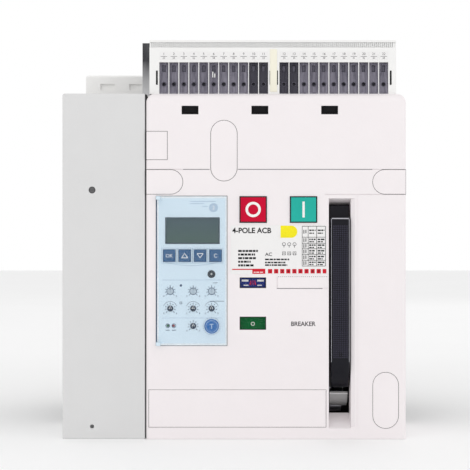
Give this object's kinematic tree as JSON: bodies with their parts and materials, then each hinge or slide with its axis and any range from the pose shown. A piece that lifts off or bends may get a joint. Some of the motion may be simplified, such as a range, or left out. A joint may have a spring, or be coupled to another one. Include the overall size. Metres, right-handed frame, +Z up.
{
  "type": "air circuit breaker",
  "caption": "Fixed low-voltage air circuit breaker with a trip unit, charging handle, push buttons, swinging contact arms, arc chutes and rear bar terminals.",
  "frame": {"origin": "the middle of the underside that the breaker stands on", "axes": "+X to the right seen from the front, +Y to the rear terminals, +Z up"},
  "size_m": [0.358, 0.354, 0.419],
  "materials": {
    "case_moulding": "dark graphite thermoset moulding with a fine pebbled skin",
    "cover_moulding": "light grey moulding, fine spark-eroded texture",
    "neutral_moulding": "mid grey moulding, smooth satin",
    "chute_moulding": "off-white glass-filled moulding",
    "splitter_steel": "copper-flashed sheet steel",
    "zinc_steel": "bright zinc-plated pressed steel",
    "bolt_steel": "dark plated steel fasteners",
    "shaft_steel": "machined steel, lightly oiled",
    "wheel_steel": "hardened steel, dark",
    "spring_steel": "oiled spring wire",
    "silvered_copper": "silver-plated copper bar with light tarnish",
    "braided_copper": "laminated copper strap",
    "finger_copper": "copper fingers with silver contact faces",
    "carrier_moulding": "brown thermoset contact carrier",
    "bearing_moulding": "natural nylon bearing blocks",
    "coil_moulding": "potted coil housings, dark blue",
    "actuator_moulding": "black moulded relay housing",
    "contact_block_moulding": "grey-green moulded auxiliary contacts",
    "black_moulding": "black textured grip moulding",
    "latch_moulding": "black latch tongues",
    "panel_moulding": "light grey moulded panel",
    "unit_moulding": "pale blue-grey moulding with a printed face",
    "clear_lid": "clear polycarbonate lid",
    "clear_lens": "clear window lens",
    "screen": "dark grey-green display",
    "key_moulding": "blue keys with white symbols",
    "test_moulding": "blue round push button",
    "dial_moulding": "off-white setting dials with a screwdriver slot",
    "red_moulding": "red push button with a white ring",
    "green_moulding": "green push button with a white bar",
    "position_print": "green and red printed flag",
    "charge_print": "dark blue and yellow printed flag",
    "label_film": "printed rating label",
    "tower_moulding": "light grey terminal housing with printed numbers",
    "module_moulding": "smoky violet-grey terminal modules"
  },
  "bodies": {
    "frame": {"rear_case": "case_moulding", "front_case": "case_moulding", "mounting_brackets": "zinc_steel", "bracket_screws": "bolt_steel", "case_bolts": "bolt_steel", "contact_pivot_rod": "shaft_steel", "upper_terminals": "silvered_copper", "lower_terminals": "silvered_copper", "flexible_links": "braided_copper", "current_sensors": "coil_moulding", "arc_chutes": "chute_moulding", "splitter_plates": "splitter_steel", "shaft_bearings": "bearing_moulding", "left_mechanism_plate": "zinc_steel", "right_mechanism_plate": "zinc_steel", "closing_springs": "spring_steel", "front_cover": "cover_moulding", "blanking_plates": "panel_moulding", "lower_panel": "panel_moulding", "cover_latches": "latch_moulding", "indicator_lenses": "clear_lens", "rating_label": "label_film", "neutral_cover": "neutral_moulding", "cover_screws": "bolt_steel", "trip_unit_case": "unit_moulding", "lcd_screen": "screen", "terminal_housing": "tower_moulding", "terminal_modules": "module_moulding", "terminal_bracket": "zinc_steel", "trip_actuator": "actuator_moulding", "auxiliary_contacts": "contact_block_moulding"},
    "main_shaft": {"main_shaft": "shaft_steel"},
    "links": {"drive_links": "zinc_steel"},
    "contacts": {"contact_carriers": "carrier_moulding", "contact_fingers": "finger_copper"},
    "position_flag": {"position_flag": "position_print"},
    "charging": {"charging_shaft": "shaft_steel", "ratchet_wheel": "wheel_steel"},
    "crosshead": {"spring_crosshead": "shaft_steel"},
    "charge_flag": {"charge_flag": "charge_print"},
    "handle": {"handle_grip": "black_moulding", "handle_lever": "wheel_steel"},
    "pawl": {"drive_pawl": "wheel_steel"},
    "open_button": {"open_button": "red_moulding"},
    "close_button": {"close_button": "green_moulding"},
    "trip_latch": {"trip_latch": "zinc_steel"},
    "close_latch": {"close_latch": "zinc_steel"},
    "trip_cover": {"trip_unit_cover": "clear_lid"},
    "key_ok": {"key_ok": "key_moulding"},
    "key_up": {"key_up": "key_moulding"},
    "key_down": {"key_down": "key_moulding"},
    "key_clear": {"key_clear": "key_moulding"},
    "test_button": {"test_button": "test_moulding"},
    "dial_1": {"setting_dial_1": "dial_moulding"},
    "dial_2": {"setting_dial_2": "dial_moulding"},
    "dial_3": {"setting_dial_3": "dial_moulding"},
    "dial_4": {"setting_dial_4": "dial_moulding"},
    "dial_5": {"setting_dial_5": "dial_moulding"},
    "dial_6": {"setting_dial_6": "dial_moulding"},
    "dial_7": {"setting_dial_7": "dial_moulding"}
  },
  "joints": [
    {"name": "main_shaft_turn", "type": "hinge", "parent": "frame", "child": "main_shaft", "pos_m": [0, -0.08, 0.118], "axis": [1, 0, 0], "range_deg": [-18, 0]},
    {"name": "link_swing", "type": "hinge", "parent": "main_shaft", "child": "links", "pos_m": [0, -0.09236, 0.15604], "axis": [1, 0, 0], "range_deg": [0, 18]},
    {"name": "contact_swing", "type": "hinge", "parent": "frame", "child": "contacts", "pos_m": [0, 0.04, 0.118], "axis": [1, 0, 0], "range_deg": [-18, 0]},
    {"name": "position_flag_slide", "type": "slide", "parent": "frame", "child": "position_flag", "axis": [0, 0, 1], "range_m": [-0.015, 0]},
    {"name": "charging_turn", "type": "hinge", "parent": "frame", "child": "charging", "pos_m": [0, -0.128, 0.05], "axis": [1, 0, 0], "range_deg": [0, 300]},
    {"name": "crosshead_slide", "type": "slide", "parent": "frame", "child": "crosshead", "axis": [0, 0, 1], "range_m": [0, 0.02], "deforming": ["closing_springs"]},
    {"name": "charge_flag_slide", "type": "slide", "parent": "frame", "child": "charge_flag", "axis": [0, 0, 1], "range_m": [-0.0125, 0]},
    {"name": "handle_pull", "type": "hinge", "parent": "frame", "child": "handle", "pos_m": [0, -0.128, 0.05], "axis": [1, 0, 0], "range_deg": [0, 60], "stiffness_Nm_per_rad": 2},
    {"name": "pawl_swing", "type": "hinge", "parent": "handle", "child": "pawl", "pos_m": [0, -0.08963, 0.06708], "axis": [1, 0, 0], "range_deg": [0, 8.5], "stiffness_Nm_per_rad": 0.05},
    {"name": "open_button_press", "type": "slide", "parent": "frame", "child": "open_button", "axis": [0, 1, 0], "range_m": [0, 0.004], "stiffness_N_per_m": 1500},
    {"name": "trip_latch_turn", "type": "hinge", "parent": "frame", "child": "trip_latch", "pos_m": [0, -0.122, 0.214], "axis": [1, 0, 0], "range_deg": [-11.5, 0]},
    {"name": "close_button_press", "type": "slide", "parent": "frame", "child": "close_button", "axis": [0, 1, 0], "range_m": [0, 0.004], "stiffness_N_per_m": 1500},
    {"name": "close_latch_turn", "type": "hinge", "parent": "frame", "child": "close_latch", "pos_m": [0, -0.1, 0.214], "axis": [1, 0, 0], "range_deg": [-11.5, 0]},
    {"name": "trip_cover_swing", "type": "hinge", "parent": "frame", "child": "trip_cover", "pos_m": [-0.0787, -0.1744, 0.175], "axis": [0, 0, -1], "range_deg": [0, 115]},
    {"name": "key_ok_press", "type": "slide", "parent": "frame", "child": "key_ok", "axis": [0, 1, 0], "range_m": [0, 0.0008], "stiffness_N_per_m": 2500},
    {"name": "key_up_press", "type": "slide", "parent": "frame", "child": "key_up", "axis": [0, 1, 0], "range_m": [0, 0.0008], "stiffness_N_per_m": 2500},
    {"name": "key_down_press", "type": "slide", "parent": "frame", "child": "key_down", "axis": [0, 1, 0], "range_m": [0, 0.0008], "stiffness_N_per_m": 2500},
    {"name": "key_clear_press", "type": "slide", "parent": "frame", "child": "key_clear", "axis": [0, 1, 0], "range_m": [0, 0.0008], "stiffness_N_per_m": 2500},
    {"name": "test_button_press", "type": "slide", "parent": "frame", "child": "test_button", "axis": [0, 1, 0], "range_m": [0, 0.002], "stiffness_N_per_m": 1500},
    {"name": "dial_1_turn", "type": "hinge", "parent": "frame", "child": "dial_1", "pos_m": [-0.0664, -0.171, 0.1538], "axis": [0, 1, 0], "range_deg": [-135, 135]},
    {"name": "dial_2_turn", "type": "hinge", "parent": "frame", "child": "dial_2", "pos_m": [-0.0425, -0.171, 0.1538], "axis": [0, 1, 0], "range_deg": [-135, 135]},
    {"name": "dial_3_turn", "type": "hinge", "parent": "frame", "child": "dial_3", "pos_m": [-0.0233, -0.171, 0.1538], "axis": [0, 1, 0], "range_deg": [-135, 135]},
    {"name": "dial_4_turn", "type": "hinge", "parent": "frame", "child": "dial_4", "pos_m": [-0.0664, -0.171, 0.1358], "axis": [0, 1, 0], "range_deg": [-135, 135]},
    {"name": "dial_5_turn", "type": "hinge", "parent": "frame", "child": "dial_5", "pos_m": [-0.0425, -0.171, 0.1358], "axis": [0, 1, 0], "range_deg": [-135, 135]},
    {"name": "dial_6_turn", "type": "hinge", "parent": "frame", "child": "dial_6", "pos_m": [-0.0233, -0.171, 0.1358], "axis": [0, 1, 0], "range_deg": [-135, 135]},
    {"name": "dial_7_turn", "type": "hinge", "parent": "frame", "child": "dial_7", "pos_m": [-0.0425, -0.171, 0.1177], "axis": [0, 1, 0], "range_deg": [-135, 135]}
  ],
  "couplings": [
    {"joint": "contact_swing", "follows": "main_shaft_turn", "ratio": 1},
    {"joint": "link_swing", "follows": "main_shaft_turn", "ratio": -1},
    {"joint": "position_flag_slide", "follows": "main_shaft_turn", "m_per_rad": 0.047745},
    {"joint": "crosshead_slide", "follows": "charging_turn", "m_per_rad": 0.0038196},
    {"joint": "charge_flag_slide", "follows": "charging_turn", "m_per_rad": -0.0023872},
    {"joint": "trip_latch_turn", "follows": "open_button_press", "rad_per_m": -50},
    {"joint": "close_latch_turn", "follows": "close_button_press", "rad_per_m": -50}
  ]
}
